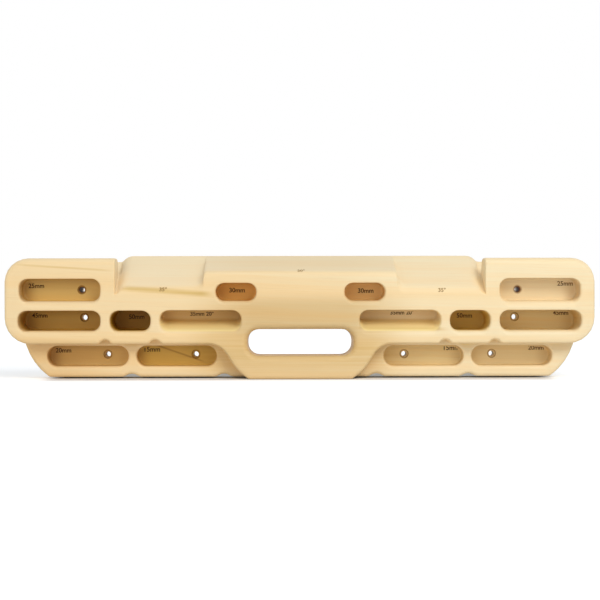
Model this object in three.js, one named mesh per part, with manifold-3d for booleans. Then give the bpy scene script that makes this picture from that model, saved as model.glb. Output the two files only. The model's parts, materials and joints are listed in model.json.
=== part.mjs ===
import * as THREE from 'three';
import { mergeVertices } from 'three/addons/utils/BufferGeometryUtils.js';
import Module from 'manifold-3d';

// A wooden climbing hangboard, milled from a blank of three boards glued face to face.
// Millimetres. X runs to the right, Y from the front towards the wall, Z up.
// The origin is the middle of the back face, which lies on the wall at y = 0.

const wasm = await Module();
wasm.setup();

// Blank
const boardWidth = 700;
const boardHeight = 148;
const boardDepth = 58;
const frontBoardThickness = 20;
const middleBoardThickness = 22;

// Front tier: end blocks, lip and the tongue that carries the handle
const endBlockWidth = 130.4;
const endBlockDrop = 4.2;
const endBlockTopRound = 8;
const topCornerRadius = 28;
const lipCornerRadius = 31;
const lipHeight = 41.8;
const edgeRound = 4;
const lipNotchWidth = 21;
const lipNotchHeight = 4.8;
const tongueWidth = 122;
const tongueFootRadius = 26;
const tongueFlankRadius = 60;
const tongueFlankAngle = 58;
const tongueBreakAngle = 32;
const breakEase = 6;

// Lower tier, set back by the thickness of the front board
const lowerTierInset = 17.6;
const lowerTierRadius = 74.5;
const lowerTierBreakAngle = 36.4;
const lowerTierRise = 2;
const lowerTierRoot = 24;
const lowerNotchWidth = 25;
const lowerNotchHeight = 3.5;
const lowerNotchPlaces = [91.5, 202];

// Slopers along the top
const centreBlockWidth = 229;
const centreSlopeAngle = 20;
const centreSlopeRound = 8;
const sideSlopeAngle = 35;
const sideSlopeRound = 15;
const coveWidth = 12;
const coveShare = 0.6;
const blockEdgeWidth = 4;
const blockEdgeShare = 0.2;
const grooveDepth = 6;
const grooveRadius = 6;
const grooveCrestRadius = 18;
const wallEdgeRound = 1.5;

// Jugs behind the tops of the end blocks
const jugLipThickness = 33;
const jugLipRound = 10;
const jugBackDrop = 7.3;
const jugBackAngle = 55;
const jugFloorRadius = 7;
const jugEndWall = 26;
const jugEndBlend = 11;
const jugMouthBlend = 4;
const jugEndNarrowing = 6.5;

// Finger pockets, from the outer ends inwards
const upperPocketMargin = 17.5;
const outerPocketMargin = 16.1;
const upperPocketWidth = 95.5;
const upperPocketHeight = 26.3;
const upperPocketDepth = 25;
const upperPocketLevel = 106.1;
const upperPocketLip = 8;
const outerPocketWidth = 97;
const outerPocketHeight = 23.7;
const outerPocketDepth = 45;
const middleRowLevel = 69.6;
const middleRowLip = 6.5;
const twinPocketWidth = 47.7;
const twinPocketDepth = 50;
const twinPocketWeb = 11.55;
const slopedPocketWidth = 96;
const slopedPocketHeight = 24.3;
const slopedPocketDepth = 35;
const slopedPocketAngle = 20;
const slopedPocketWeb = 11.25;
const centrePocketSpacing = 152.8;
const centrePocketWidth = 48;
const centrePocketHeight = 20.9;
const centrePocketDepth = 30;
const centrePocketLevel = 103.6;
const centrePocketLip = 6;
const lowerPocketMargin = 29.7;
const lowerPocketWidth = 96.8;
const lowerPocketHeight = 24.5;
const lowerPocketDepth = 20;
const lowerPocketWeb = 10.05;
const shallowPocketWidth = 95.5;
const shallowPocketDepth = 15;
const lowerRowLevel = 27.2;
const lowerRowLip = 4.5;
const pocketCornerRadius = 10.5;
const lowerPocketCornerRadius = 12;
const upperLipRound = 1.5;
const sideLipRound = 3;
const pocketFloorRound = 2.5;

// Handle hole through the tongue
const handleWidth = 126;
const handleHeight = 31.5;
const handleLevel = 43.45;
const handleCornerRadius = 14;
const handleFrontRound = 7.5;
const handleBackRound = 3;

// Countersunk screw holes in the pocket floors
const screwHeadRadius = 5.4;
const screwShankRadius = 3.2;
const outerScrewPlace = 262;
const lowerScrewPlace = 233;
const shallowScrewPlace = 126;
const upperScrewRise = 0.3;
const middleScrewRise = 3.4;
const lowerScrewRise = 1.3;

// Making sizes: how far cutters run past the wood, how far shapes that meet overlap, and the
// least flat left between two arcs
const cutOverrun = 10;
const edgeOverlap = 0.02;
const leastFlat = 0.1;
const weldDistance = 0.0001;

// Facets
const cornerSteps = 6;
const roundSteps = 4;
const floorSteps = 2;
const breakSteps = 2;
const notchSteps = 5;
const slopeSteps = 4;
const coveSteps = 10;
const screwSides = 24;

const halfTurn = Math.PI;
const quarterTurn = halfTurn / 2;
const radians = THREE.MathUtils.degToRad;

const ridge = boardHeight / 2;
const foot = -boardHeight / 2;
const side = boardWidth / 2;
const face = -boardDepth;
const frontGlueLine = face + frontBoardThickness;
const backGlueLine = frontGlueLine + middleBoardThickness;
const lip = foot + lipHeight;
const endBlockTop = ridge - endBlockDrop;
const endBlockWall = side - endBlockWidth;
const centreBlockWall = centreBlockWidth / 2;
const lowerTierSide = side - lowerTierInset;
const above = ridge + cutOverrun;

const upperPocketX = side - upperPocketMargin - upperPocketWidth / 2;
const outerPocketX = side - outerPocketMargin - outerPocketWidth / 2;
const twinPocketX = outerPocketX - outerPocketWidth / 2 - twinPocketWeb - twinPocketWidth / 2;
const slopedPocketX = twinPocketX - twinPocketWidth / 2 - slopedPocketWeb - slopedPocketWidth / 2;
const lowerPocketX = lowerTierSide - lowerPocketMargin - lowerPocketWidth / 2;
const shallowPocketX = lowerPocketX - lowerPocketWidth / 2 - lowerPocketWeb - shallowPocketWidth / 2;

// How far a rounded edge of this radius stands back at a distance from its end.
function ease(radius, distance) {
  if (distance >= radius) {
    return 0;
  }
  return radius - Math.sqrt(radius ** 2 - (radius - distance) ** 2);
}

// Distances along a rounded edge, close together where it turns fastest.
function easeStations(radius, steps) {
  const stations = [];
  for (let step = 0; step <= steps; step += 1) {
    stations.push(radius * (1 - Math.cos((quarterTurn * step) / steps)));
  }
  return stations;
}

// Joins rings of equally many points into one closed skin with capped ends. The first
// ring runs anticlockwise as seen against the direction in which the rings follow.
function loft(rings, flatten) {
  const size = rings[0].length;
  const last = (rings.length - 1) * size;
  const index = [];
  for (let ring = 0; ring < last; ring += size) {
    for (let step = 0; step < size; step += 1) {
      const here = ring + step;
      const next = ring + ((step + 1) % size);
      index.push(here, next + size, next, here, here + size, next + size);
    }
  }
  const capOf = (ring) => THREE.ShapeUtils.triangulateShape(ring.map(flatten), []);
  capOf(rings[0]).forEach(([a, b, c]) => index.push(a, b, c));
  capOf(rings.at(-1)).forEach(([a, b, c]) => index.push(last + c, last + b, last + a));
  const geometry = new THREE.BufferGeometry().setFromPoints(rings.flat());
  geometry.setIndex(index);
  return geometry;
}

const frontView = (point) => new THREE.Vector2(point.x, point.z);
const sideView = (point) => new THREE.Vector2(point.y, point.z);

function solidFrom(geometry) {
  const bare = geometry.clone();
  bare.deleteAttribute('normal');
  bare.deleteAttribute('uv');
  const merged = mergeVertices(bare, weldDistance);
  const vertProperties = new Float32Array(merged.attributes.position.array);
  const triVerts = new Uint32Array(merged.index.array);
  return new wasm.Manifold(new wasm.Mesh({ numProp: 3, vertProperties, triVerts }));
}

function box(left, right, front, back, bottom, top) {
  const geometry = new THREE.BoxGeometry(right - left, back - front, top - bottom);
  geometry.translate((left + right) / 2, (front + back) / 2, (bottom + top) / 2);
  return geometry;
}

// Walks the right half of an outline from the bottom upwards. Each point keeps the
// direction that leads out of the wood and the radius of the front edge there.
function outlineWalk(startX, startZ) {
  const points = [];
  let x = startX;
  let z = startZ;
  let heading = 0;
  let round = edgeRound;
  const mark = () => {
    points.push({ x, z, outX: Math.sin(heading), outZ: -Math.cos(heading), round });
  };
  mark();
  return {
    points,
    goTo(nextX, nextZ) {
      x = nextX;
      z = nextZ;
      mark();
    },
    // Turns left around a convex corner, or right, with a negative angle, round a hollow one.
    turn(radius, angle, steps, nextRound = round) {
      const bend = Math.sign(angle) * radius;
      const centreX = x - bend * Math.sin(heading);
      const centreZ = z + bend * Math.cos(heading);
      const startHeading = heading;
      const startRound = round;
      for (let step = 1; step <= steps; step += 1) {
        heading = startHeading + (angle * step) / steps;
        round = startRound + ((nextRound - startRound) * step) / steps;
        x = centreX + bend * Math.sin(heading);
        z = centreZ - bend * Math.cos(heading);
        mark();
      }
    },
    // A bell-shaped notch in a straight lower edge, centred at the given place.
    notch(centreX, width, height) {
      const angle = 2 * Math.atan(height / (width / 2));
      const radius = width / 4 / Math.sin(angle);
      this.goTo(centreX - width / 2, z);
      this.turn(radius, angle, notchSteps);
      this.turn(radius, -2 * angle, 2 * notchSteps);
      this.turn(radius, angle, notchSteps);
    },
  };
}

function wholeOutline(half) {
  const left = half.slice(1, -1).reverse();
  const turned = left.map((point) => ({ ...point, x: -point.x, outX: -point.outX }));
  return [...half, ...turned];
}

// A slab with this outline whose front edge is rounded.
function roundedSlab(outline, front, back) {
  const widest = Math.max(...outline.map((point) => point.round));
  const ringAt = (depth) => outline.map((point) => {
    const inset = ease(point.round, depth);
    return new THREE.Vector3(point.x - point.outX * inset, front + depth, point.z - point.outZ * inset);
  });
  const depths = [...easeStations(widest, roundSteps), back - front];
  return loft(depths.map(ringAt), frontView);
}

// The outline of the end blocks, the lip and the tongue.
function frontTierOutline() {
  const flank = radians(tongueFlankAngle);
  const start = radians(tongueBreakAngle);
  const flankRise = tongueFlankRadius * (Math.cos(start) - Math.cos(flank));
  const footRise = tongueFootRadius * (1 - Math.cos(flank));
  const easeRise = breakEase * (1 - Math.cos(start));
  const fit = Math.min(1, (lipHeight - easeRise) / (flankRise + footRise));
  const straightRise = lipHeight - easeRise - fit * (flankRise + footRise);
  const walk = outlineWalk(0, foot);
  walk.goTo(tongueWidth / 2 - breakEase * Math.tan(start / 2), foot);
  walk.turn(breakEase, start, breakSteps);
  walk.turn(fit * tongueFlankRadius, flank - start, cornerSteps);
  const flankEnd = walk.points.at(-1);
  walk.goTo(flankEnd.x + straightRise / Math.tan(flank), flankEnd.z + straightRise);
  walk.turn(fit * tongueFootRadius, -flank, cornerSteps);
  walk.notch(twinPocketX - (twinPocketWidth + slopedPocketWeb) / 2, lipNotchWidth, lipNotchHeight);
  walk.notch(twinPocketX + (twinPocketWidth + twinPocketWeb) / 2, lipNotchWidth, lipNotchHeight);
  walk.goTo(side - lipCornerRadius, lip);
  walk.turn(lipCornerRadius, quarterTurn, cornerSteps);
  walk.goTo(side, endBlockTop - topCornerRadius);
  walk.turn(topCornerRadius, quarterTurn, cornerSteps, endBlockTopRound);
  walk.goTo(0, endBlockTop);
  return wholeOutline(walk.points);
}

// The outline of the lower tier, which is rooted behind the lip.
function lowerTierOutline() {
  const start = radians(lowerTierBreakAngle);
  const base = foot + lowerTierRise;
  const room = lip + lowerTierRoot - base - breakEase * (1 - Math.cos(start));
  const radius = Math.min(lowerTierRadius, room / Math.cos(start));
  const curveStart = lowerTierSide - radius * (1 - Math.sin(start));
  const walk = outlineWalk(0, base);
  lowerNotchPlaces.forEach((place) => walk.notch(place, lowerNotchWidth, lowerNotchHeight));
  walk.goTo(curveStart - breakEase * Math.sin(start), base);
  walk.turn(breakEase, start, breakSteps);
  walk.turn(radius, quarterTurn - start, cornerSteps);
  walk.goTo(lowerTierSide, lip + lowerTierRoot);
  walk.points.push({ x: 0, z: lip + lowerTierRoot, outX: 0, outZ: 1, round: 0 });
  return wholeOutline(walk.points);
}

// A ring of a slot: a rectangle whose corners are quarter ellipses, at one depth.
function slotRing({ x, low, high, half, wide, tallHigh, tallLow, depth }) {
  const ring = [];
  const corners = [
    [x + half - wide, low + tallLow, tallLow, -quarterTurn],
    [x + half - wide, high - tallHigh, tallHigh, 0],
    [x - half + wide, high - tallHigh, tallHigh, quarterTurn],
    [x - half + wide, low + tallLow, tallLow, halfTurn],
  ];
  corners.forEach(([centreX, centreZ, tall, start]) => {
    for (let step = 0; step <= cornerSteps; step += 1) {
      const angle = start + (quarterTurn * step) / cornerSteps;
      ring.push(new THREE.Vector3(
        centreX + wide * Math.cos(angle),
        depth,
        centreZ + tall * Math.sin(angle),
      ));
    }
  });
  return ring;
}

// A finger pocket: rounded lips, most of all the lower one, straight or rising floor,
// and a small round at the back wall.
function pocket({ x, level, width, height, depth, front, corner, lowerLip, rise = 0 }) {
  const middle = foot + level;
  const ringAt = (distance) => {
    const inset = ease(pocketFloorRound, depth - distance);
    const onSide = ease(sideLipRound, distance) - inset;
    const onTop = ease(upperLipRound, distance) - inset;
    const onBottom = ease(lowerLip, distance) - inset;
    const climb = Math.max(distance, 0) * Math.tan(radians(rise));
    const radius = Math.min(corner, (height - climb) / 2 - leastFlat);
    return slotRing({
      x,
      low: middle - height / 2 + climb - onBottom,
      high: middle + height / 2 + onTop,
      half: width / 2 + onSide,
      wide: radius + onSide,
      tallHigh: radius + onTop,
      tallLow: radius + onBottom,
      depth: front + distance,
    });
  };
  const fromLip = easeStations(lowerLip, roundSteps);
  const toFloor = easeStations(pocketFloorRound, floorSteps).map((station) => depth - station);
  const rings = [...fromLip, ...toFloor.reverse()].map(ringAt);
  const mouth = rings[0].map((point) => point.clone().setY(front - cutOverrun));
  return loft([mouth, ...rings], frontView);
}

// The hole behind the tongue's grip, rounded at the front and eased at the back.
function handleHole() {
  const middle = foot + handleLevel;
  const radius = Math.min(handleCornerRadius, handleHeight / 2 - leastFlat);
  const ringAt = (growth, depth) => slotRing({
    x: 0,
    low: middle - handleHeight / 2 - growth,
    high: middle + handleHeight / 2 + growth,
    half: handleWidth / 2 + growth,
    wide: radius + growth,
    tallHigh: radius + growth,
    tallLow: radius + growth,
    depth,
  });
  const rings = [ringAt(handleFrontRound, face - cutOverrun)];
  easeStations(handleFrontRound, roundSteps).forEach((station) => {
    rings.push(ringAt(ease(handleFrontRound, station), face + station));
  });
  easeStations(handleBackRound, floorSteps).reverse().forEach((station) => {
    rings.push(ringAt(ease(handleBackRound, station), -station));
  });
  rings.push(ringAt(handleBackRound, cutOverrun));
  return loft(rings, frontView);
}

// The space over a sloper, as seen along X: its underside is the slope and the rounded nose
// that ends in the front face. A negative lift sinks the slope and keeps the nose's foot.
function slopeProfile(angle, round, lift) {
  const slope = radians(angle);
  const radius = round + lift / (1 - Math.sin(slope));
  const bendY = face + radius;
  const bendZ = ridge + (face + round) * Math.tan(slope) - round / Math.cos(slope);
  const profile = [
    [cutOverrun, above + cutOverrun],
    [face - cutOverrun, above + cutOverrun],
    [face - cutOverrun, bendZ],
  ];
  for (let step = 0; step <= roundSteps; step += 1) {
    const turn = halfTurn - ((quarterTurn - slope) * step) / roundSteps;
    profile.push([bendY + radius * Math.cos(turn), bendZ + radius * Math.sin(turn)]);
  }
  const [noseY, noseZ] = profile.at(-1);
  const ridgeZ = ridge + lift / Math.cos(slope);
  for (let step = 1; step <= slopeSteps; step += 1) {
    const share = step / slopeSteps;
    profile.push([noseY * (1 - share), noseZ + (ridgeZ - noseZ) * share]);
  }
  profile.push([cutOverrun, ridgeZ]);
  return profile;
}

function acrossBoard(x, profile) {
  return profile.map(([y, z]) => new THREE.Vector3(x, y, z));
}

// The space over the right half of the slopers. From the right it has a groove along the end
// block, the side slope, a cove, and a rounded edge up to the middle block, which it follows
// to just past the middle of the board. The cove and the edge run out at the ridge.
function slopers() {
  const sideProfile = slopeProfile(sideSlopeAngle, sideSlopeRound, 0);
  const centreProfile = slopeProfile(centreSlopeAngle, centreSlopeRound, 0);
  const turn = Math.acos(1 - grooveDepth / (grooveRadius + grooveCrestRadius));
  const grooveWidth = (grooveRadius + grooveCrestRadius) * Math.sin(turn);
  const sections = [];
  const sink = (distance, depth) => {
    const profile = slopeProfile(sideSlopeAngle, sideSlopeRound, -depth);
    sections.push(acrossBoard(endBlockWall - distance, profile));
  };
  const blend = (x, share) => {
    const profile = sideProfile.map(([y, z], corner) => {
      const [nextY, nextZ] = centreProfile[corner];
      return [y + (nextY - y) * share, z + (nextZ - z) * share];
    });
    sections.push(acrossBoard(x, profile));
  };
  for (let step = 0; step < roundSteps; step += 1) {
    const angle = (turn * step) / roundSteps;
    sink(grooveRadius * Math.sin(angle), grooveDepth - grooveRadius * (1 - Math.cos(angle)));
  }
  for (let step = roundSteps; step >= 0; step -= 1) {
    const angle = (turn * step) / roundSteps;
    sink(grooveWidth - grooveCrestRadius * Math.sin(angle), grooveCrestRadius * (1 - Math.cos(angle)));
  }
  for (let step = 0; step <= coveSteps; step += 1) {
    const angle = (quarterTurn * step) / coveSteps;
    blend(centreBlockWall + coveWidth * (1 - Math.sin(angle)), coveShare * (1 - Math.cos(angle)));
  }
  for (let step = 0; step <= roundSteps; step += 1) {
    const angle = (quarterTurn * step) / roundSteps;
    const share = 1 - blockEdgeShare * (1 - Math.sin(angle));
    blend(centreBlockWall - blockEdgeWidth * (1 - Math.cos(angle)), share);
  }
  sections.push(acrossBoard(-edgeOverlap, centreProfile));
  return loft(sections, sideView);
}

// The trough of a jug, square to X, drawn in on all sides towards its two ends.
function jugSection(x, inset) {
  const lean = radians(jugBackAngle);
  const lipBack = face + jugLipThickness;
  const backZ = ridge - jugBackDrop;
  const floorY = lipBack + jugFloorRadius;
  const floorZ = backZ + floorY * Math.tan(lean) + jugFloorRadius / Math.cos(lean);
  const lipY = lipBack - jugLipRound;
  const lipZ = endBlockTop - jugLipRound;
  const ring = [[lipY, above]];
  for (let step = 0; step <= roundSteps; step += 1) {
    const angle = quarterTurn * (1 - step / roundSteps);
    const radius = jugLipRound + inset;
    ring.push([lipY + radius * Math.cos(angle), lipZ + (radius - inset) * Math.sin(angle)]);
  }
  const sweep = quarterTurn + lean;
  for (let step = 0; step <= cornerSteps; step += 1) {
    const angle = halfTurn + (sweep * step) / cornerSteps;
    const radius = jugFloorRadius - inset;
    ring.push([floorY + radius * Math.cos(angle), floorZ + radius * Math.sin(angle)]);
  }
  ring.push([cutOverrun, backZ + inset / Math.cos(lean) + cutOverrun * Math.tan(lean)]);
  ring.push([cutOverrun, above + cutOverrun * Math.tan(lean)]);
  return acrossBoard(x, ring);
}

// The lip of a jug, square to X, drawn in on all sides.
function jugLipSection(x, inset) {
  const corners = [
    [face + endBlockTopRound, endBlockTop - endBlockTopRound, endBlockTopRound, halfTurn],
    [face + jugLipThickness - jugLipRound, endBlockTop - jugLipRound, jugLipRound, quarterTurn],
  ];
  const ring = [[face + inset, foot]];
  corners.forEach(([centreY, centreZ, radius, start]) => {
    for (let step = 0; step <= roundSteps; step += 1) {
      const angle = start - (quarterTurn * step) / roundSteps;
      const reach = radius - inset;
      ring.push([centreY + reach * Math.cos(angle), centreZ + reach * Math.sin(angle)]);
    }
  });
  ring.push([face + jugLipThickness - inset, foot]);
  return acrossBoard(x, ring).reverse();
}

// What is rounded off the edges of an end block where it meets the groove's wall.
function endBlockEdge() {
  const reach = endBlockWall + wallEdgeRound;
  const profile = slopeProfile(sideSlopeAngle, sideSlopeRound, -grooveDepth);
  const space = [reach, endBlockWall].map((x) => acrossBoard(x, profile));
  const kept = easeStations(wallEdgeRound, roundSteps).map((distance) => {
    return jugLipSection(endBlockWall + distance, ease(wallEdgeRound, distance) - edgeOverlap);
  });
  kept.push(jugLipSection(reach + cutOverrun, -edgeOverlap));
  return solidFrom(loft(space, sideView)).subtract(solidFrom(loft(kept.reverse(), sideView)));
}

function jugTrough() {
  const outerEnd = side - jugEndWall;
  const sections = [];
  for (let step = roundSteps; step >= 0; step -= 1) {
    const angle = (quarterTurn * step) / roundSteps;
    const drawnIn = jugEndNarrowing * (1 - Math.cos(angle));
    sections.push(jugSection(outerEnd - jugEndBlend * (1 - Math.sin(angle)), drawnIn));
  }
  for (let step = 0; step <= roundSteps; step += 1) {
    const angle = (quarterTurn * step) / roundSteps;
    const drawnIn = jugEndNarrowing * (1 - Math.cos(angle));
    sections.push(jugSection(endBlockWall - jugMouthBlend * Math.sin(angle), drawnIn));
  }
  return loft(sections, sideView);
}

// A countersunk hole from a pocket floor to the back face.
function screwHole(x, z, floor) {
  const profile = [
    [0, floor - cutOverrun],
    [screwHeadRadius, floor - cutOverrun],
    [screwHeadRadius, floor],
    [screwShankRadius, floor + screwHeadRadius - screwShankRadius],
    [screwShankRadius, cutOverrun],
    [0, cutOverrun],
  ];
  const points = profile.map(([radius, depth]) => new THREE.Vector2(radius, depth));
  return new THREE.LatheGeometry(points, screwSides).translate(x, 0, z);
}

const upperPocket = pocket({
  x: upperPocketX,
  level: upperPocketLevel,
  width: upperPocketWidth,
  height: upperPocketHeight,
  depth: upperPocketDepth,
  front: face,
  corner: pocketCornerRadius,
  lowerLip: upperPocketLip,
});
const outerPocket = pocket({
  x: outerPocketX,
  level: middleRowLevel,
  width: outerPocketWidth,
  height: outerPocketHeight,
  depth: outerPocketDepth,
  front: face,
  corner: pocketCornerRadius,
  lowerLip: middleRowLip,
});
const twinPocket = pocket({
  x: twinPocketX,
  level: middleRowLevel,
  width: twinPocketWidth,
  height: outerPocketHeight,
  depth: twinPocketDepth,
  front: face,
  corner: pocketCornerRadius,
  lowerLip: middleRowLip,
});
const slopedPocket = pocket({
  x: slopedPocketX,
  level: middleRowLevel,
  width: slopedPocketWidth,
  height: slopedPocketHeight,
  depth: slopedPocketDepth,
  front: face,
  corner: pocketCornerRadius,
  lowerLip: middleRowLip,
  rise: slopedPocketAngle,
});
const centrePocket = pocket({
  x: centrePocketSpacing / 2,
  level: centrePocketLevel,
  width: centrePocketWidth,
  height: centrePocketHeight,
  depth: centrePocketDepth,
  front: face,
  corner: pocketCornerRadius,
  lowerLip: centrePocketLip,
});
const lowerPocket = pocket({
  x: lowerPocketX,
  level: lowerRowLevel,
  width: lowerPocketWidth,
  height: lowerPocketHeight,
  depth: lowerPocketDepth,
  front: frontGlueLine,
  corner: lowerPocketCornerRadius,
  lowerLip: lowerRowLip,
});
const shallowPocket = pocket({
  x: shallowPocketX,
  level: lowerRowLevel,
  width: shallowPocketWidth,
  height: lowerPocketHeight,
  depth: shallowPocketDepth,
  front: frontGlueLine,
  corner: lowerPocketCornerRadius,
  lowerLip: lowerRowLip,
});

const upperScrewZ = foot + upperPocketLevel + upperScrewRise;
const middleScrewZ = foot + middleRowLevel + middleScrewRise;
const lowerScrewZ = foot + lowerRowLevel + lowerScrewRise;
const screwHoles = [
  screwHole(outerScrewPlace, upperScrewZ, face + upperPocketDepth),
  screwHole(outerScrewPlace, middleScrewZ, face + outerPocketDepth),
  screwHole(lowerScrewPlace, lowerScrewZ, frontGlueLine + lowerPocketDepth),
  screwHole(shallowScrewPlace, lowerScrewZ, frontGlueLine + shallowPocketDepth),
];

const pairedCutters = [
  slopers(),
  jugTrough(),
  upperPocket,
  outerPocket,
  twinPocket,
  slopedPocket,
  centrePocket,
  lowerPocket,
  shallowPocket,
  ...screwHoles,
].map(solidFrom);
pairedCutters.push(endBlockEdge());

const cutters = [
  solidFrom(handleHole()),
  ...pairedCutters,
  ...pairedCutters.map((cutter) => cutter.mirror([1, 0, 0])),
];

const blank = [
  roundedSlab(frontTierOutline(), face, 0),
  roundedSlab(lowerTierOutline(), frontGlueLine, 0),
  box(-endBlockWall, endBlockWall, face, 0, endBlockTop - cutOverrun, ridge),
].map(solidFrom).reduce((whole, piece) => whole.add(piece));

const carved = cutters.reduce((wood, cutter) => wood.subtract(cutter), blank);

// One board of the blank: what lies between two glue lines.
function board(name, front, back, colour) {
  const slice = solidFrom(box(-boardWidth, boardWidth, front, back, -boardHeight, boardHeight));
  const { vertProperties, triVerts } = carved.intersect(slice).getMesh();
  const geometry = new THREE.BufferGeometry();
  geometry.setAttribute('position', new THREE.BufferAttribute(vertProperties, 3));
  geometry.setIndex(new THREE.BufferAttribute(triVerts, 1));
  geometry.computeVertexNormals();
  const material = new THREE.MeshStandardMaterial({ color: colour, roughness: 0.6, metalness: 0 });
  const mesh = new THREE.Mesh(geometry, material);
  mesh.name = name;
  return mesh;
}

const hangboard = new THREE.Group();
hangboard.name = 'hangboard';
hangboard.add(board('front_board', face - cutOverrun, frontGlueLine, 0xf3d9ab));
hangboard.add(board('middle_board', frontGlueLine, backGlueLine, 0xefd2a0));
hangboard.add(board('back_board', backGlueLine, cutOverrun, 0xecce9b));

export default hangboard;
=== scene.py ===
import json
import math
from collections import namedtuple

import bpy
from bpy.props import FloatProperty, FloatVectorProperty, PointerProperty
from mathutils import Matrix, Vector

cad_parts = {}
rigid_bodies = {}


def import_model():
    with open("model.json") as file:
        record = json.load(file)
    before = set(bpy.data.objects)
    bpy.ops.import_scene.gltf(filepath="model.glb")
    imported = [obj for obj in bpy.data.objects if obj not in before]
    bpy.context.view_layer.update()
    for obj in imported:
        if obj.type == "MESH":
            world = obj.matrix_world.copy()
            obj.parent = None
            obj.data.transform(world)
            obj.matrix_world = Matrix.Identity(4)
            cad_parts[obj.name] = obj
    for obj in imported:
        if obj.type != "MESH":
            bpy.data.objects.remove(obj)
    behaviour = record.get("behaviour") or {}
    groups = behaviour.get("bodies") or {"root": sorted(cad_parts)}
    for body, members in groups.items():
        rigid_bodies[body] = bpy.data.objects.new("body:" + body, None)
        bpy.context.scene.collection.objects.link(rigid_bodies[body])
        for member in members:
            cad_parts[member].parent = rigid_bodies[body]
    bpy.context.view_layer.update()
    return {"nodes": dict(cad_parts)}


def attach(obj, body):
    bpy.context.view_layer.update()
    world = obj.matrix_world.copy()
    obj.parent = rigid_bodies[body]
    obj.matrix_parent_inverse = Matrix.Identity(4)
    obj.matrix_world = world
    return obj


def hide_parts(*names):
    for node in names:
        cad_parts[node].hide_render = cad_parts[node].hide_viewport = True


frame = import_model()

bl_info = {
    "name": "Wooden hangboard",
    "version": (1, 0, 0),
    "blender": (4, 5, 0),
    "location": "View3D > Sidebar > Hangboard",
    "description": "Dresses a milled wooden fingerboard and sets it in a plain studio",
    "category": "Object",
}

# Places and sizes are in millimetres, as in the part, unless a comment says otherwise:
# X to the right, Y into the wall, Z up from the middle of the board's height.
MM = 0.001
FACE = -58.0
LOWER_FACE = -38.0
FOOT = -74.0

# The boards, and how far the grain of each is shifted, so that no two look alike. The larger
# faces of a board decide how it is shaded where they meet the small ones of a rounding.
GRAIN_SHIFTS = {
    "front_board": (0.0, 0.0, 0.0),
    "middle_board": (3.7, 5.1, 2.3),
    "back_board": (7.9, 1.7, 8.2),
}
FLAT_FACE_WEIGHT = 100

# The hollows of each half, which mirror one another: X and Z of the middle, width, height,
# the face that they are cut into, depth, how much painted shade their walls get at the left and at the
# right end of the board, and how much painted shade darkens their outer end and top.
Hollow = namedtuple("Hollow", "x z width height front depth left right shade")
HOLLOWS = {
    "upper": Hollow(284.75, 32.1, 95.5, 26.3, FACE, 25.0, 0.75, 0.1, 1.0),
    "outer": Hollow(285.4, -4.4, 97.0, 23.7, FACE, 45.0, 0.9, 0.6, 1.0),
    "two_finger": Hollow(201.5, -4.4, 47.7, 23.7, FACE, 50.0, 1.8, 1.7, 0.6),
    "sloped": Hollow(118.4, -4.4, 96.0, 24.3, FACE, 35.0, 0.4, 0.0, 0.35),
    "centre": Hollow(76.4, 29.6, 48.0, 20.9, FACE, 30.0, 0.75, 0.5, 0.5),
    "lower_outer": Hollow(254.3, -46.8, 96.8, 24.5, LOWER_FACE, 20.0, 0.6, 0.35, 0.8),
    "lower_inner": Hollow(148.1, -46.8, 95.5, 24.5, LOWER_FACE, 15.0, 0.9, 0.5, 0.8),
}

# The edge of a hollow, the depths over which its painted shade comes in at the mouth and is full on the
# walls, and how far the painted shade at the end and at the top reaches.
RIM = 0.6
MOUTH_EASE = 3.6
RECESS_SHADE_BELOW = 15.0
END_SHADE = 20.0
TOP_SHADE = 9.0
TOP_SHADE_SHARE = 0.6

# How much of that painted shade shows, from the left to the right of the board.
SHADE_ACROSS = (-100.0, 100.0)
LEFT_SHADE = 0.6
RIGHT_SHADE = 0.35

# The depth burnt into each pair of hollows: words, their width, and X and Z of their middle
# at the left and at the right.
NUMBER_WIDTH = 18.5
LONG_NUMBER_WIDTH = 28.0
DEPTH_NUMBERS = {
    "upper": ("25mm", NUMBER_WIDTH, (-316.5, 37.0), (319.6, 39.0)),
    "outer": ("45mm", NUMBER_WIDTH, (-316.2, 1.2), (318.6, 3.5)),
    "two_finger": ("50mm", NUMBER_WIDTH, (-199.2, -0.6), (201.4, 0.3)),
    "sloped": ("35mm 20°", LONG_NUMBER_WIDTH, (-118.6, 3.1), (123.6, 4.2)),
    "centre": ("30mm", NUMBER_WIDTH, (-76.0, 31.5), (79.2, 30.7)),
    "lower_outer": ("20mm", NUMBER_WIDTH, (-286.7, -41.0), (287.2, -38.8)),
    "lower_inner": ("15mm", NUMBER_WIDTH, (-179.3, -39.8), (183.0, -38.6)),
}

# The angle burnt into each sloping top hold: words, and X and Z of their middle.
ANGLE_WIDTH = 8.5
ANGLE_NUMBERS = (
    ("35°", -162.5, 32.4),
    ("35°", 168.0, 31.2),
    ("20°", 1.0, 54.6),
)

# How far the numbers lie in front of the wood, how far the burn spreads past their outline,
# how close their corners may lie, and the Y from which the wood behind an angle is sighted.
NUMBER_LIFT = 0.12
BURN_SPREAD = 0.12
NUMBER_WELD = 0.001
SIGHT_START = -200.0

# X and Z of the screw holes of the right half. A ring of painted shade, which fades out towards the
# mouth of the hollow, runs just within the rim of each countersink. Painted shade darkens their walls
# most in the hollows above the middle of the board.
SCREW_PLACES = ((262.0, 32.4), (262.0, -1.0), (233.0, -45.5), (126.0, -45.5))
RING_RADIUS = 4.9
RING_WIDTH = 0.9
RING_SHADE = 0.75
RING_ONSET = 4.0
DEEP_HOLE_SHADE = 1.0
FAINT_HOLE_SHADE = 0.12

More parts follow.
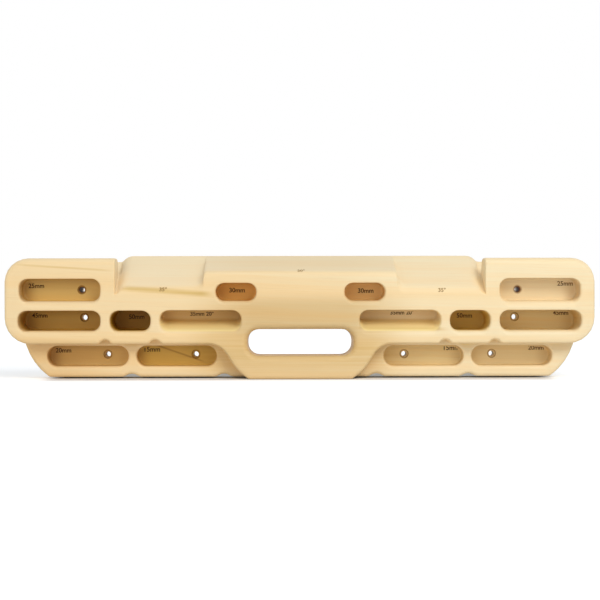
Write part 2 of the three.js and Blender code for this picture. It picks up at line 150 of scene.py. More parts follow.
# The layers of the grain: turns per metre along X, Y and Z, detail and roughness of the noise,
# and the values at which the layer sets in and is full.
Layer = namedtuple("Layer", "turns detail roughness low high")
BANDS = Layer((1.1, 30.0, 46.0), 3.0, 0.55, 0.36, 0.68)
FINE_LINES = Layer((3.5, 240.0, 300.0), 4.0, 0.62, 0.34, 0.70)
FIBRES = Layer((16.0, 900.0, 1100.0), 2.0, 0.60, 0.56, 0.76)
PATCHES = Layer((4.0, 14.0, 18.0), 2.0, 0.50, 0.35, 0.70)

# How much of its own colour each layer lays over the pale wood.
BAND_SHARE = 0.40
FINE_SHARE = 0.28
FIBRE_SHARE = 0.18

# The sway of the whole grain: turns per metre, detail and roughness, its mean, and its height.
SWAY = ((2.2, 9.0, 9.0), 2.0, 0.5)
SWAY_MEAN = 0.5
SWAY_HEIGHT = 22.0

# The olive streaks: where each begins and ends along X, its level at the middle of the board,
# how far it drops for each millimetre to the right, its half width, and its weight.
STREAKS = (
    (-222.0, -98.0, 19.2, 0.072, 5.2, 2.2),
    (-85.0, 70.0, -50.0, 0.030, 6.5, 1.0),
    (-345.0, -215.0, 39.5, 0.068, 2.2, 1.0),
    (60.0, 180.0, -13.0, 0.010, 4.0, 1.5),
    (-150.0, 130.0, -40.0, 0.0, 42.0, 1.0),
)

# The part of a streak's length over which it fades at each end, and how much of its colour
# shows everywhere and how much more in the fine lines.
STREAK_FADE = 0.18
OLIVE_BETWEEN = 0.35
OLIVE_IN_LINES = 0.30

# One darker streak on the floor of the lower inner hollow at the left.
HOLLOW_STREAK = (-185.0, -112.0, -94.6, 0.346, 2.0)
HOLLOW_STREAK_SHARE = 0.7

# Where a tone sets in and where it is full, along X, Y or Z. Aside is the distance from the
# middle of the board.
# The left is warmer and darker, partly as the wood's own tone and partly as painted shade.
WARM_AND_SHADED_TO_LEFT = (200.0, -340.0)
# Painted sheen on the slopes that face up to the light.
SHEEN_BEHIND = (-57.5, -50.0)
SHEEN_ABOVE = (10.0, 30.0)
GRIP_ASIDE = (150.0, 50.0)
GRIP_BELOW = (-4.0, -40.0)
BELT_BELOW = (32.0, 12.0)
BELT_ABOVE = (-36.0, -6.0)
# Painted shade at the lower left corner, under the lip.
CORNER_TO_LEFT = (-200.0, -300.0)
CORNER_BELOW = (-22.0, -30.0)
# Painted shade in the hollows, from the left to the right and in the two of the centre.
HOLLOWS_TO_RIGHT = (-100.0, 340.0)
CENTRE_ASIDE = (115.0, 105.0)
CENTRE_ABOVE = (8.0, 14.0)
# Painted light on the lower part of the sloped floors.
RAMP_BELOW = (-2.0, -8.0)
# Painted shade in the cove beside the left end block.
COVE_TO_LEFT = (-208.5, -218.0)
COVE_FROM_BLOCK = (-220.4, -219.8)
COVE_OFF_WALL = (-4.0, -10.0)

# How much of a tone is laid over the wood.
WARM_AND_SHADE_SHARE = 0.45
SHEEN_SHARE = 0.20
GRIP_TOP_SHARE = 0.35
CORNER_SHARE = 0.7
RAMP_SHARE = 0.7

# A finish: its shine, how strongly its relief shows, and how high that stands.
Surface = namedtuple("Surface", "shine strength relief")

# The wood after sanding, which is a little rougher in patches. Fibres lie low in it, and the fine
# lines stand up.
SANDED_SURFACE = Surface(0.35, 0.10, 0.4)
SANDED_ROUGHNESS = 0.50
PATCH_ROUGHNESS = 0.08
FIBRE_RELIEF = -0.6
LINE_RELIEF = 0.4

# The burnt numbers: the speckles in them, in turns per metre, the values between which these
# darken the wood, and where the burn is lighter, along X and along Y.
BURNT_SURFACE = Surface(0.15, 0.3, 0.2)
BURNT_ROUGHNESS = 0.85
SPECKLES = {"Scale": 900.0, "Detail": 3.0, "Roughness": 0.6}
SPECKLE_VALUES = (0.70, 0.35)
SPECKLE_SHARE = 0.6
CHARRED = (0.4, 0.4, 0.4)
SINGED_TO_RIGHT = (150.0, 330.0)
FAINT_BEFORE = (-37.0, -41.0)

# The studio. The floor is whitened for the camera all round a patch at the board's foot, so
# that the shadow stays there. The patch has its middle and half depth along Y and its half
# width along X. The white comes in fast near the patch, and slowly farther off.
WHITE = (1.0, 1.0, 1.0)
FLOOR_SIZE = 24000.0
FLOOR_COLOUR = (0.86, 0.86, 0.86)
PATCH_Y = 20.0
PATCH_HALF_DEPTH = 80.0
PATCH_HALF_WIDTH = 285.0
NEAR_WHITE = (0.0, 30.0)
NEAR_SHARE = 0.72
FAR_WHITE = (30.0, 800.0)
FAR_SHARE = 0.30
SKY_COLOUR = (0.90, 0.95, 1.0)
SENSOR_WIDTH = 36.0

# The lamps, in metres: place, what each is aimed at, and the length of its side.
Lamp = namedtuple("Lamp", "name place target side")
MAIN_LAMP = Lamp("main_lamp", (0.75, -1.60, 1.25), (0.05, 0.0, 0.0), 1.0)
FILL_LAMP = Lamp("fill_lamp", (-1.10, -1.70, 0.40), (0.0, 0.0, 0.0), 1.2)


def colour(name, description, default):
    """A colour of the wood, which the sidebar shows."""
    return FloatVectorProperty(
        name=name, description=description, default=default,
        size=3, min=0.0, max=1.0, subtype="COLOR",
    )


class TulipwoodSettings(bpy.types.PropertyGroup):
    pale: colour("Pale wood", "Colour of the quiet sapwood", (0.90, 0.745, 0.475))
    # Also laid over the left of the board, partly as the wood's own tone and partly as painted shade.
    warm: colour("Warm wood", "Colour of the broad warmer bands", (0.92, 0.62, 0.28))
    olive: colour("Olive streak", "Colour of the faint heartwood streaks", (0.70, 0.47, 0.16))
    fibre: colour("Fibre line", "Colour of the fine darker fibres", (0.62, 0.37, 0.13))
    # Painted sheen on the slopes that face up to the light.
    slope_sheen: colour("Sanded slopes", "Colour across the sloping holds", (0.92, 0.785, 0.545))
    # Also used as painted shade at the lower left corner, under the lip.
    grip: colour("Grip bar", "Tone of the wood round the grip bar", (0.90, 0.84, 0.74))
    belt: colour("Belt", "Tone of the wood above the grip bar", (0.81, 0.745, 0.62))
    # Painted shade in the cove beside the left end block.
    cove: colour("Cove", "Tone of the cove beside the left end block", (0.93, 0.92, 0.91))
    # Painted shade in the hollows, darker at the left than at the right and in the centre.
    left_hollow_shade: colour("Left hollows", "Tone of the hollows at the left", (0.72, 0.58, 0.13))
    right_hollow_shade: colour("Right hollows", "Tone of the hollows at the right", (1.0, 0.94, 0.60))
    middle_hollow_shade: colour("Centre hollows", "Tone of the two in the middle", (0.95, 0.66, 0.10))
    # Painted shade at the outer ends and tops of the hollows.
    shaded: colour("Hollow ends", "Tone of the outer ends of the hollows", (0.50, 0.36, 0.22))
    # Painted light on the lower part of the sloped floors.
    lit_ramp: colour("Sloped floors", "Colour of the floors that slope", (0.97, 0.77, 0.33))
    # Painted shade in the screw holes and round the rims of their countersinks.
    hole_shade_tone: colour("Screw holes", "Tone of the cut fibres in the screw holes", (0.20, 0.07, 0.02))
    slant: FloatProperty(
        name="Grain slant", description="How far the grain drops towards the right",
        default=math.radians(0.9), subtype="ANGLE",
    )
    smooth_angle: FloatProperty(
        name="Smoothing angle", description="Faces that meet at less than this are shaded as one",
        default=math.radians(28), subtype="ANGLE",
    )
    weld: FloatProperty(
        name="Weld distance", description="Corners closer than this are joined",
        default=0.00001, unit="LENGTH", precision=5,
    )


class BurntNumberSettings(bpy.types.PropertyGroup):
    thickness: FloatProperty(
        name="Thickness", description="Thickness of the burnt skin",
        default=0.00008, unit="LENGTH", precision=5,
    )
    burnt: colour("Burnt wood", "Colour of the burnt lines at the left", (0.07, 0.028, 0.008))
    singed: colour("Singed wood", "Colour of the burnt lines at the right", (0.17, 0.075, 0.022))
    faint: colour("Faint burn", "Colour of the lines on the sloping holds", (0.44, 0.26, 0.09))


class StudioSettings(bpy.types.PropertyGroup):
    sky: FloatProperty(
        name="Sky strength", description="Strength of the even light from all round",
        default=0.50, min=0.0,
    )
    key_power: FloatProperty(
        name="Main lamp", description="Power of the lamp at the upper right",
        default=21.8, unit="POWER",
    )
    fill_power: FloatProperty(
        name="Fill lamp", description="Power of the lamp at the left front",
        default=6.0, unit="POWER",
    )
    floor_glow: FloatProperty(
        name="Floor glow", description="How far the floor is whitened for the camera alone",
        default=0.62, min=0.0,
    )
    lens: FloatProperty(
        name="Lens", description="Focal length of the camera",
        default=76.06, unit="CAMERA",
    )
    distance: FloatProperty(
        name="Camera distance", description="From the wall to the camera",
        default=1.558, unit="LENGTH",
    )
    height: FloatProperty(
        name="Camera height", description="Above the middle of the board",
        default=0.0198, unit="LENGTH", precision=4,
    )
    offset: FloatProperty(
        name="Camera offset", description="To the right of the middle of the board",
        default=-0.0180, unit="LENGTH", precision=4,
    )
    turn: FloatProperty(
        name="Camera turn", description="To the right, about the upright axis",
        default=math.radians(0.67), subtype="ANGLE",
    )
    roll: FloatProperty(
        name="Camera roll", description="How far the camera is tipped on its side",
        default=math.radians(0.09), subtype="ANGLE",
    )


def deselect_all():
    for thing in bpy.context.view_layer.objects:
        thing.select_set(False)


def activate(thing):
    deselect_all()
    thing.select_set(True)
    bpy.context.view_layer.objects.active = thing


def weld_corners(distance):
    """Joins the corners of the active mesh that lie closer than a distance in metres."""
    bpy.ops.object.mode_set(mode="EDIT")
    bpy.ops.mesh.select_all(action="SELECT")
    bpy.ops.mesh.remove_doubles(threshold=distance)
    bpy.ops.object.mode_set(mode="OBJECT")


Parts = namedtuple("Parts", "x y z")


class Nodes:
    """Lays out the nodes of one material or sky and links them."""

    # The sockets of a Mix node that mixes colours.
    MIX_SHARE = 0
    MIX_FIRST = 6
    MIX_SECOND = 7
    MIX_RESULT = 2

    def __init__(self, owner):
        owner.use_nodes = True
        self.tree = owner.node_tree
        self.tree.nodes.clear()

    def feed(self, socket, value):
        """Links a socket to another one, or sets it to a number, a colour or a vector."""
        if isinstance(value, bpy.types.NodeSocket):
            self.tree.links.new(value, socket)
        elif socket.type == "RGBA":
            socket.default_value = (*value, 1.0)
        else:
            socket.default_value = value

    def add(self, kind, inputs=None, **values):
        node = self.tree.nodes.new(kind)
        for key, value in values.items():
            setattr(node, key, value)
        for key, value in (inputs or {}).items():
            self.feed(node.inputs[key], value)
        return node

    def object_place(self):
        return self.add("ShaderNodeTexCoord").outputs["Object"]

    def parts(self, place):
        """X, Y and Z of a place."""
        split = self.add("ShaderNodeSeparateXYZ", {"Vector": place}).outputs
        return Parts(split["X"], split["Y"], split["Z"])

    def attribute(self, name):
        return self.add("ShaderNodeAttribute", attribute_name=name).outputs["Fac"]

    def math(self, operation, *values, clamp=False):
        inputs = dict(enumerate(values))
        return self.add("ShaderNodeMath", inputs, operation=operation, use_clamp=clamp).outputs[0]

    def product(self, first, *others):
        for other in others:
            first = self.math("MULTIPLY", first, other)
        return first

    def gap(self, value, other=0.0):
        """How far apart two values are, whichever is the larger."""
        return self.math("ABSOLUTE", self.math("SUBTRACT", value, other))

    def span(self, value, low, high, start=0.0, end=1.0):
        """Carries a value smoothly from one range to another."""
        ranges = {"Value": value, "From Min": low, "From Max": high, "To Min": start, "To Max": end}
        return self.add("ShaderNodeMapRange", ranges, interpolation_type="SMOOTHSTEP").outputs["Result"]

    def ease(self, place, pair, start=0.0, end=1.0):
        """Carries a value smoothly from one to another between two places along an axis."""
        return self.span(place, pair[0] * MM, pair[1] * MM, start, end)

    def mix(self, way, share, first, second):
        inputs = {self.MIX_SHARE: share, self.MIX_FIRST: first, self.MIX_SECOND: second}
        node = self.add("ShaderNodeMix", inputs, data_type="RGBA", blend_type=way)
        return node.outputs[self.MIX_RESULT]

    def blend(self, share, first, second):
        """Lays a share of the second colour over the first."""
        return self.mix("MIX", share, first, second)

    def tint(self, share, first, second):
        """Multiplies a share of the second colour into the first."""
        return self.mix("MULTIPLY", share, first, second)

    def surface(self, kind, colour, roughness, height):
        """Ends a material: its colour and roughness, and a relief whose height is in millimetres."""
        bump = self.add(
            "ShaderNodeBump",
            {"Strength": kind.strength, "Distance": kind.relief * MM, "Height": height},
        )
        wood = self.add("ShaderNodeBsdfPrincipled", {
            "Base Color": colour,
            "Roughness": roughness,
            "Normal": bump.outputs["Normal"],
            "Specular IOR Level": kind.shine,
        })
        self.add("ShaderNodeOutputMaterial", {"Surface": wood.outputs["BSDF"]})


def stretched_noise(nodes, place, shift, turns, detail, roughness):
    """Noise that is drawn out along the grain; its turns are per metre along X, Y and Z."""
    mapping = nodes.add("ShaderNodeMapping", {"Vector": place, "Location": shift, "Scale": turns})
    noise = nodes.add("ShaderNodeTexNoise", {
        "Vector": mapping.outputs["Vector"],
        "Scale": 1.0,
        "Detail": detail,
        "Roughness": roughness,
    })
    return noise.outputs["Fac"]


def grain_layer(nodes, grain, shift, layer):
    noise = stretched_noise(nodes, grain, shift, layer.turns, layer.detail, layer.roughness)
    return nodes.span(noise, layer.low, layer.high)


def swaying_grain(nodes, place, slant, shift):
    """Places along a grain that slants and sways a little on its way through the board."""
    slanted = nodes.add("ShaderNodeMapping", {"Vector": place, "Rotation": (0.0, -slant, 0.0)})
    along = slanted.outputs["Vector"]
    sway = nodes.math("SUBTRACT", stretched_noise(nodes, along, shift, *SWAY), SWAY_MEAN)
    lift = nodes.add("ShaderNodeCombineXYZ", {"Z": nodes.product(sway, SWAY_HEIGHT * MM)})
    risen = nodes.add(
        "ShaderNodeVectorMath", {0: along, 1: lift.outputs["Vector"]}, operation="ADD"
    )
    return risen.outputs["Vector"]


def streak(nodes, parts, start, end, level, drop, width):
    """A soft streak along the grain, between two places along X."""
    centre = nodes.math("MULTIPLY_ADD", parts.x, -drop, level * MM)
    across = nodes.ease(nodes.gap(parts.z, centre), (width, 0.0))
    fade = STREAK_FADE * (end - start)
    begun = nodes.ease(parts.x, (start, start + fade))
    ended = nodes.ease(parts.x, (end, end - fade))
    return nodes.product(begun, ended, across)


def olive_streaks(nodes, parts, lines):
    """Faint streaks of heartwood, which show most in the fine lines of the grain."""
    olive = 0.0
    for *route, weight in STREAKS:
        one = nodes.product(streak(nodes, parts, *route), weight)
        olive = nodes.math("MAXIMUM", olive, one)
    return nodes.product(olive, nodes.math("MULTIPLY_ADD", lines, OLIVE_IN_LINES, OLIVE_BETWEEN))


def within_rim(edge):
    """From just beyond an edge to just within its rim."""
    return (edge + 2 * RIM, edge + RIM)


def inside(nodes, parts, hollow):
    """One within a hollow and its mirror image, between their front and their floor."""
    aside = nodes.gap(nodes.gap(parts.x), hollow.x * MM)
    upright = nodes.gap(parts.z, hollow.z * MM)
    return nodes.product(
        nodes.ease(aside, within_rim(hollow.width / 2)),
        nodes.ease(upright, within_rim(hollow.height / 2)),
        nodes.ease(parts.y, (hollow.front + RIM, hollow.front + MOUTH_EASE)),
        nodes.ease(parts.y, within_rim(hollow.front + hollow.depth)),
    )


def hollow_shade(nodes, parts):
    """Painted shade, which grows towards the outer end and the top of each hollow, more at the left."""
    aside = nodes.gap(parts.x)
    shade = 0.0
    for hollow in HOLLOWS.values():
        end = hollow.x + hollow.width / 2
        top = hollow.z + hollow.height / 2
        outwards = nodes.ease(aside, (end - END_SHADE, end), 0.0, hollow.shade)
        upwards = nodes.ease(parts.z, (top - TOP_SHADE, top), 0.0, TOP_SHADE_SHARE * hollow.shade)
        darker = nodes.math("MAXIMUM", outwards, upwards)
        shade = nodes.math("MAXIMUM", shade, nodes.product(darker, inside(nodes, parts, hollow)))
    return nodes.product(shade, nodes.ease(parts.x, SHADE_ACROSS, LEFT_SHADE, RIGHT_SHADE))


def screw_ring_shade(nodes, parts):
    """A thin ring of painted shade round the rim of each countersink."""
    aside = nodes.gap(parts.x)
    rings = 0.0
    for x, z in SCREW_PLACES:
        over = nodes.math("SUBTRACT", aside, x * MM)
        up = nodes.math("SUBTRACT", parts.z, z * MM)
        squares = nodes.math("ADD", nodes.product(over, over), nodes.product(up, up))
        away = nodes.gap(nodes.math("SQRT", squares), RING_RADIUS * MM)
        rings = nodes.math("MAXIMUM", rings, nodes.ease(away, (RING_WIDTH, 0.0), 0.0, RING_SHADE))
    return rings


def hollow_shade_tone(nodes, parts, wood):
    """The painted shade of the hollows, from the left to the right and in the two of the centre."""
    tone = nodes.blend(nodes.ease(parts.x, HOLLOWS_TO_RIGHT), wood.left_hollow_shade, wood.right_hollow_shade)
    aside = nodes.ease(nodes.gap(parts.x), CENTRE_ASIDE)
    above = nodes.ease(parts.z, CENTRE_ABOVE)
    return nodes.blend(nodes.product(aside, above), tone, wood.middle_hollow_shade)


def warm_middle_shaded_corner(nodes, parts, body, wood):
    """Warmer wood round the grip bar and in a belt above it, and painted shade at the lower left
    corner, under the lip.
    """
    aside = nodes.ease(nodes.gap(parts.x), GRIP_ASIDE)
    low = nodes.ease(parts.z, GRIP_BELOW, GRIP_TOP_SHARE, 1.0)
    belt = nodes.product(nodes.ease(parts.z, BELT_BELOW), nodes.ease(parts.z, BELT_ABOVE))
    # Painted shade at the lower left corner, under the lip.
    corner = nodes.product(
        nodes.ease(parts.x, CORNER_TO_LEFT), nodes.ease(parts.z, CORNER_BELOW), CORNER_SHARE
    )
    body = nodes.tint(nodes.product(aside, low), body, wood.grip)
    body = nodes.tint(nodes.product(aside, belt), body, wood.belt)
    return nodes.tint(corner, body, wood.grip)


def shaded_hollows(nodes, parts, body, recess_shade, wood):
    """Painted shade on the walls and floors of the hollows, laid once or twice over, a darker streak,
    and painted light on the lower sloped floors.
    """
    tone = hollow_shade_tone(nodes, parts, wood)
    body = nodes.tint(nodes.math("MINIMUM", recess_shade, 1.0), body, tone)
    body = nodes.tint(nodes.math("SUBTRACT", recess_shade, 1.0, clamp=True), body, tone)
    body = nodes.tint(hollow_shade(nodes, parts), body, wood.shaded)
    dark = nodes.product(
        streak(nodes, parts, *HOLLOW_STREAK),
        inside(nodes, parts, HOLLOWS["lower_inner"]),
        HOLLOW_STREAK_SHARE,
    )
    body = nodes.tint(dark, body, wood.shaded)
    # Painted light on the lower part of the sloped floors.
    lit_ramp = nodes.product(
        inside(nodes, parts, HOLLOWS["sloped"]), nodes.ease(parts.z, RAMP_BELOW), RAMP_SHARE
    )
    return nodes.blend(lit_ramp, body, wood.lit_ramp)


def tulipwood(name, wood, shift):
    """Fine pale wood whose grain runs along X through the whole board."""
    material = bpy.data.materials.new(name)
    nodes = Nodes(material)
    place = nodes.object_place()
    parts = nodes.parts(place)
    grain = swaying_grain(nodes, place, wood.slant, shift)
    bands = grain_layer(nodes, grain, shift, BANDS)
    lines = grain_layer(nodes, grain, shift, FINE_LINES)
    fibres = grain_layer(nodes, grain, shift, FIBRES)
    patches = grain_layer(nodes, grain, shift, PATCHES)

    # Bare wood, warmer and darker towards the left: partly the wood's own tone, partly painted shade.
    left = nodes.ease(parts.x, WARM_AND_SHADED_TO_LEFT, 0.0, WARM_AND_SHADE_SHARE)
    warm = nodes.math("MULTIPLY_ADD", bands, BAND_SHARE, left, clamp=True)
    body = nodes.blend(warm, wood.pale, wood.warm)
    body = nodes.blend(nodes.product(lines, FINE_SHARE), body, wood.warm)
    body = nodes.blend(nodes.product(fibres, FIBRE_SHARE), body, wood.fibre)
    body = nodes.blend(olive_streaks(nodes, parts, lines), body, wood.olive)

    # Painted sheen: the slopes behind the front face, which face up to the light, are painted paler.
    recess_shade = nodes.attribute("recess_shade")
    slopes = nodes.product(
        nodes.ease(parts.y, SHEEN_BEHIND),
        nodes.ease(parts.z, SHEEN_ABOVE),
        nodes.math("SUBTRACT", 1.0, recess_shade, clamp=True),
    )
    paler = nodes.product(slopes, nodes.math("ADD", left, SHEEN_SHARE))
    body = nodes.blend(paler, body, wood.slope_sheen)

    body = warm_middle_shaded_corner(nodes, parts, body, wood)
    body = shaded_hollows(nodes, parts, body, recess_shade, wood)

    # Painted shade in the cove beside the left end block.
    cove = nodes.product(
        slopes,
        nodes.ease(parts.x, COVE_TO_LEFT),
        nodes.ease(parts.x, COVE_FROM_BLOCK),
        nodes.ease(parts.y, COVE_OFF_WALL),
    )
    body = nodes.tint(cove, body, wood.cove)

    # Painted shade in the screw holes and in the rings round them, which show only within a hollow.
    sunk = nodes.math("MULTIPLY", recess_shade, RING_ONSET, clamp=True)
    rings = nodes.product(screw_ring_shade(nodes, parts), sunk)
    cut = nodes.math("MAXIMUM", rings, nodes.attribute("hole_shade"))
    body = nodes.tint(cut, body, wood.hole_shade_tone)

    roughness = nodes.math("MULTIPLY_ADD", patches, PATCH_ROUGHNESS, SANDED_ROUGHNESS)
    height = nodes.math("MULTIPLY_ADD", fibres, FIBRE_RELIEF, nodes.product(lines, LINE_RELIEF))
    nodes.surface(SANDED_SURFACE, body, roughness, height)
    return material


def burnt_wood(name, numbers):
    """Scorched wood, darker at the left and fainter on the sloping holds."""
    material = bpy.data.materials.new(name)
    nodes = Nodes(material)
    place = nodes.object_place()
    parts = nodes.parts(place)
    speckles = nodes.add("ShaderNodeTexNoise", {"Vector": place, **SPECKLES}).outputs["Fac"]
    body = nodes.blend(nodes.ease(parts.x, SINGED_TO_RIGHT), numbers.burnt, numbers.singed)
    body = nodes.blend(nodes.ease(parts.y, FAINT_BEFORE), body, numbers.faint)
    charred = nodes.span(speckles, *SPECKLE_VALUES, 0.0, SPECKLE_SHARE)
    body = nodes.tint(charred, body, CHARRED)
    nodes.surface(BURNT_SURFACE, body, BURNT_ROUGHNESS, speckles)
    return material


def mark_hollows(board):
    """Stores how much painted shade each corner gets in a hollow, and how much in a screw hole."""
    recess_shade = [0.0] * len(board.data.vertices)
    hole_shade = [0.0] * len(board.data.vertices)
    for corner in board.data.vertices:
        x, y, z = (part / MM for part in corner.co)
        for hollow in HOLLOWS.values():
            sideways = abs(abs(x) - hollow.x) < hollow.width / 2 + RIM
            upright = abs(z - hollow.z) < hollow.height / 2 + RIM
            below = y - hollow.front
            if sideways and upright and below > 0.0 and y < -RIM:
                deepest = hollow.left if x < 0 else hollow.right
                recess_shade[corner.index] = deepest * min(below / RECESS_SHADE_BELOW, 1.0)
                if below > hollow.depth + RIM:
                    hole_shade[corner.index] = DEEP_HOLE_SHADE if hollow.z > 0.0 else FAINT_HOLE_SHADE
    for name, values in (("recess_shade", recess_shade), ("hole_shade", hole_shade)):
        board.data.attributes.new(name, "FLOAT", "POINT").data.foreach_set("value", values)


def dress_board(name):
    """Makes a welded, smoothly shaded copy of one board of the part, in its own wood."""
    wood = bpy.context.scene.hangboard_wood
    board = bpy.data.objects.new(name + "_wood", frame["nodes"][name].data.copy())
    bpy.context.scene.collection.objects.link(board)
    board.data.materials.clear()
    activate(board)
    bpy.ops.mesh.customdata_custom_splitnormals_clear()
    weld_corners(wood.weld)
    bpy.ops.object.shade_smooth_by_angle(angle=wood.smooth_angle)
    weights = board.modifiers.new("Even faces", "WEIGHTED_NORMAL")
    weights.keep_sharp = True
    weights.weight = FLAT_FACE_WEIGHT
    bpy.ops.object.modifier_apply(modifier=weights.name)
    mark_hollows(board)
    board.data.materials.append(tulipwood(name + "_tulipwood", wood, GRAIN_SHIFTS[name]))
    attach(board, "root")
    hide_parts(name)


class HANGBOARD_OT_front_board(bpy.types.Operator):
    """Dresses the front board, with the end blocks, the lip and the grip bar"""

    bl_idname = "hangboard.front_board"
    bl_label = "Front board"

    def execute(self, context):
        dress_board("front_board")
        return {"FINISHED"}


class HANGBOARD_OT_middle_board(bpy.types.Operator):
    """Dresses the middle board, with the lower tier's face"""

    bl_idname = "hangboard.middle_board"
    bl_label = "Middle board"

    def execute(self, context):
        dress_board("middle_board")
        return {"FINISHED"}


class HANGBOARD_OT_back_board(bpy.types.Operator):
    """Dresses the back board, with the ridge and the flat wall face"""

    bl_idname = "hangboard.back_board"
    bl_label = "Back board"

    def execute(self, context):
        dress_board("back_board")
        return {"FINISHED"}


def burnt_words(words, x, z, y, width, thickness, tilt=0.0):
    """Flat burnt words that face the climber, just in front of the wood."""
    deselect_all()
    bpy.ops.object.text_add(location=(0.0, 0.0, 0.0))
    text = bpy.context.object
    text.data.body = words
    text.data.align_x = "CENTER"
    text.data.align_y = "CENTER"
    text.data.extrude = thickness / 2
    text.data.offset = BURN_SPREAD * MM
    text.data.size = 1.0
    bpy.context.view_layer.update()
    text.data.size = width * MM / text.dimensions.x
    activate(text)
    bpy.ops.object.convert(target="MESH")
    mark = bpy.context.object
    mark.rotation_euler = (math.radians(90) - tilt, 0.0, 0.0)
    mark.location = (x * MM, (y - NUMBER_LIFT) * MM, z * MM)
    bpy.ops.object.transform_apply(location=True, rotation=True, scale=True)
    weld_corners(NUMBER_WELD * MM)
    return mark


def front_at(x, z):
    """Y of the front surface at a place, and how far the surface leans back there."""
    bpy.context.view_layer.update()
    start = (x * MM, SIGHT_START * MM, z * MM)
    nearest = (0.0, 0.0)
    for name in GRAIN_SHIFTS:
        board = bpy.data.objects[name + "_wood"]
        hit, place, normal, _ = board.ray_cast(start, (0.0, 1.0, 0.0))
        if hit and place.y / MM < nearest[0]:
            nearest = (place.y / MM, math.atan2(normal.z, -normal.y))
    return nearest


class HANGBOARD_OT_depth_numbers(bpy.types.Operator):
    """Burns the depth of each pocket into its floor, and the angles into the top holds"""

    bl_idname = "hangboard.depth_numbers"
    bl_label = "Depth numbers"

    def execute(self, context):
        numbers = context.scene.hangboard_numbers
        marks = []
        for name, (words, width, *places) in DEPTH_NUMBERS.items():
            floor = HOLLOWS[name].front + HOLLOWS[name].depth
            for x, z in places:
                marks.append(burnt_words(words, x, z, floor, width, numbers.thickness))
        for words, x, z in ANGLE_NUMBERS:
            y, tilt = front_at(x, z)
            marks.append(burnt_words(words, x, z, y, ANGLE_WIDTH, numbers.thickness, tilt))
        deselect_all()
        for mark in marks:
            mark.select_set(True)
        context.view_layer.objects.active = marks[0]
        bpy.ops.object.join()
        joined = context.object
        joined.name = "depth_numbers"
        joined.data.materials.clear()
        joined.data.materials.append(burnt_wood("burnt_numbers", numbers))
        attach(joined, "root")
        return {"FINISHED"}


def seen_directly(nodes):
    """One where the camera, a mirror or glass looks straight at the surface."""
    path = nodes.add("ShaderNodeLightPath")
    seen = nodes.math("MAXIMUM", path.outputs["Is Camera Ray"], path.outputs["Is Glossy Ray"])
    return nodes.math("MAXIMUM", seen, path.outputs["Is Transmission Ray"])


def studio_white(name, glow_strength):
    """A matt floor that the camera sees as white away from the board's foot."""
    material = bpy.data.materials.new(name)
    nodes = Nodes(material)
    parts = nodes.parts(nodes.object_place())
    aside = nodes.math("SUBTRACT", nodes.gap(parts.x), PATCH_HALF_WIDTH * MM)
    ahead = nodes.math("SUBTRACT", nodes.gap(parts.y, PATCH_Y * MM), PATCH_HALF_DEPTH * MM)
    outside = nodes.add("ShaderNodeCombineXYZ", {
        "X": nodes.math("MAXIMUM", aside, 0.0),
        "Y": nodes.math("MAXIMUM", ahead, 0.0),
    })
    length = nodes.add("ShaderNodeVectorMath", {0: outside.outputs["Vector"]}, operation="LENGTH")
    distance = length.outputs["Value"]
    near = nodes.ease(distance, NEAR_WHITE, 0.0, NEAR_SHARE)
    reach = nodes.math("ADD", near, nodes.ease(distance, FAR_WHITE, 0.0, FAR_SHARE))
    glow = nodes.product(seen_directly(nodes), reach, glow_strength)
    matt = nodes.add("ShaderNodeBsdfDiffuse", {"Color": FLOOR_COLOUR})
    emission = nodes.add("ShaderNodeEmission", {"Color": WHITE, "Strength": glow})
    both = nodes.add("ShaderNodeAddShader", {0: matt.outputs[0], 1: emission.outputs[0]})
    nodes.add("ShaderNodeOutputMaterial", {"Surface": both.outputs[0]})
    return material


def white_floor(glow_strength):
    deselect_all()
    bpy.ops.mesh.primitive_plane_add(size=FLOOR_SIZE * MM, location=(0.0, 0.0, FOOT * MM))
    floor = bpy.context.object
    floor.name = "studio_floor"
    floor.data.materials.append(studio_white("studio_white", glow_strength))


def even_sky(strength):
    """Soft light from all round, with a white background for the camera."""
    world = bpy.data.worlds.new("studio_sky")
    bpy.context.scene.world = world
    nodes = Nodes(world)
    light = nodes.add("ShaderNodeBackground", {"Color": SKY_COLOUR, "Strength": strength})
    seen = nodes.add("ShaderNodeBackground", {"Color": WHITE, "Strength": 1.0})
    either = nodes.add(
        "ShaderNodeMixShader",
        {0: seen_directly(nodes), 1: light.outputs[0], 2: seen.outputs[0]},
    )
    nodes.add("ShaderNodeOutputWorld", {"Surface": either.outputs[0]})


def aimed_lamp(lamp, power):
    deselect_all()
    bpy.ops.object.light_add(type="AREA", location=lamp.place)
    light = bpy.context.object
    light.name = lamp.name
    light.data.size = lamp.side
    light.data.energy = power
    aim = Vector(lamp.target) - Vector(lamp.place)
    light.rotation_euler = aim.to_track_quat("-Z", "Y").to_euler()


def studio_camera(studio):
    deselect_all()
    bpy.ops.object.camera_add(
        location=(studio.offset, -studio.distance, studio.height),
        rotation=(math.radians(90), studio.roll, -studio.turn),
    )
    camera = bpy.context.object
    camera.name = "studio_camera"
    camera.data.sensor_width = SENSOR_WIDTH
    camera.data.lens = studio.lens
    bpy.context.scene.camera = camera


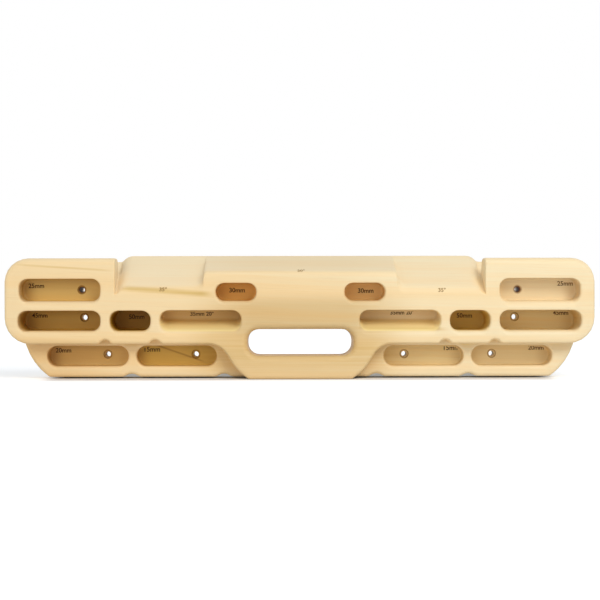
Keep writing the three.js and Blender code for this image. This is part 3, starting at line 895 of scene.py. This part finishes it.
class HANGBOARD_OT_stage(bpy.types.Operator):
    """Sets the white floor, the soft light and the camera"""

    bl_idname = "hangboard.stage"
    bl_label = "Studio"

    def execute(self, context):
        studio = context.scene.hangboard_studio
        white_floor(studio.floor_glow)
        even_sky(studio.sky)
        aimed_lamp(MAIN_LAMP, studio.key_power)
        aimed_lamp(FILL_LAMP, studio.fill_power)
        studio_camera(studio)
        context.scene.view_settings.view_transform = "Standard"
        return {"FINISHED"}


class HANGBOARD_PT_sidebar(bpy.types.Panel):
    """Lists the pieces of the hangboard and their settings"""

    bl_idname = "HANGBOARD_PT_sidebar"
    bl_label = "Hangboard"
    bl_space_type = "VIEW_3D"
    bl_region_type = "UI"
    bl_category = "Hangboard"

    def draw(self, context):
        for operator in OPERATORS:
            self.layout.operator(operator.bl_idname)
        for group in SETTINGS:
            settings = getattr(context.scene, group)
            column = self.layout.column(align=True)
            for name in settings.bl_rna.properties.keys():
                if name not in {"rna_type", "name"}:
                    column.prop(settings, name)


SETTINGS = {
    "hangboard_wood": TulipwoodSettings,
    "hangboard_numbers": BurntNumberSettings,
    "hangboard_studio": StudioSettings,
}
OPERATORS = (
    HANGBOARD_OT_front_board,
    HANGBOARD_OT_middle_board,
    HANGBOARD_OT_back_board,
    HANGBOARD_OT_depth_numbers,
    HANGBOARD_OT_stage,
)


def register():
    for group in SETTINGS.values():
        bpy.utils.register_class(group)
    for operator in OPERATORS:
        bpy.utils.register_class(operator)
    bpy.utils.register_class(HANGBOARD_PT_sidebar)
    for name, group in SETTINGS.items():
        setattr(bpy.types.Scene, name, PointerProperty(type=group))


def unregister():
    for name in SETTINGS:
        delattr(bpy.types.Scene, name)
    bpy.utils.unregister_class(HANGBOARD_PT_sidebar)
    for operator in reversed(OPERATORS):
        bpy.utils.unregister_class(operator)
    for group in reversed(list(SETTINGS.values())):
        bpy.utils.unregister_class(group)


def main():
    register()
    bpy.ops.hangboard.front_board()
    bpy.ops.hangboard.middle_board()
    bpy.ops.hangboard.back_board()
    bpy.ops.hangboard.depth_numbers()
    bpy.ops.hangboard.stage()


if __name__ == "__main__":
    main()
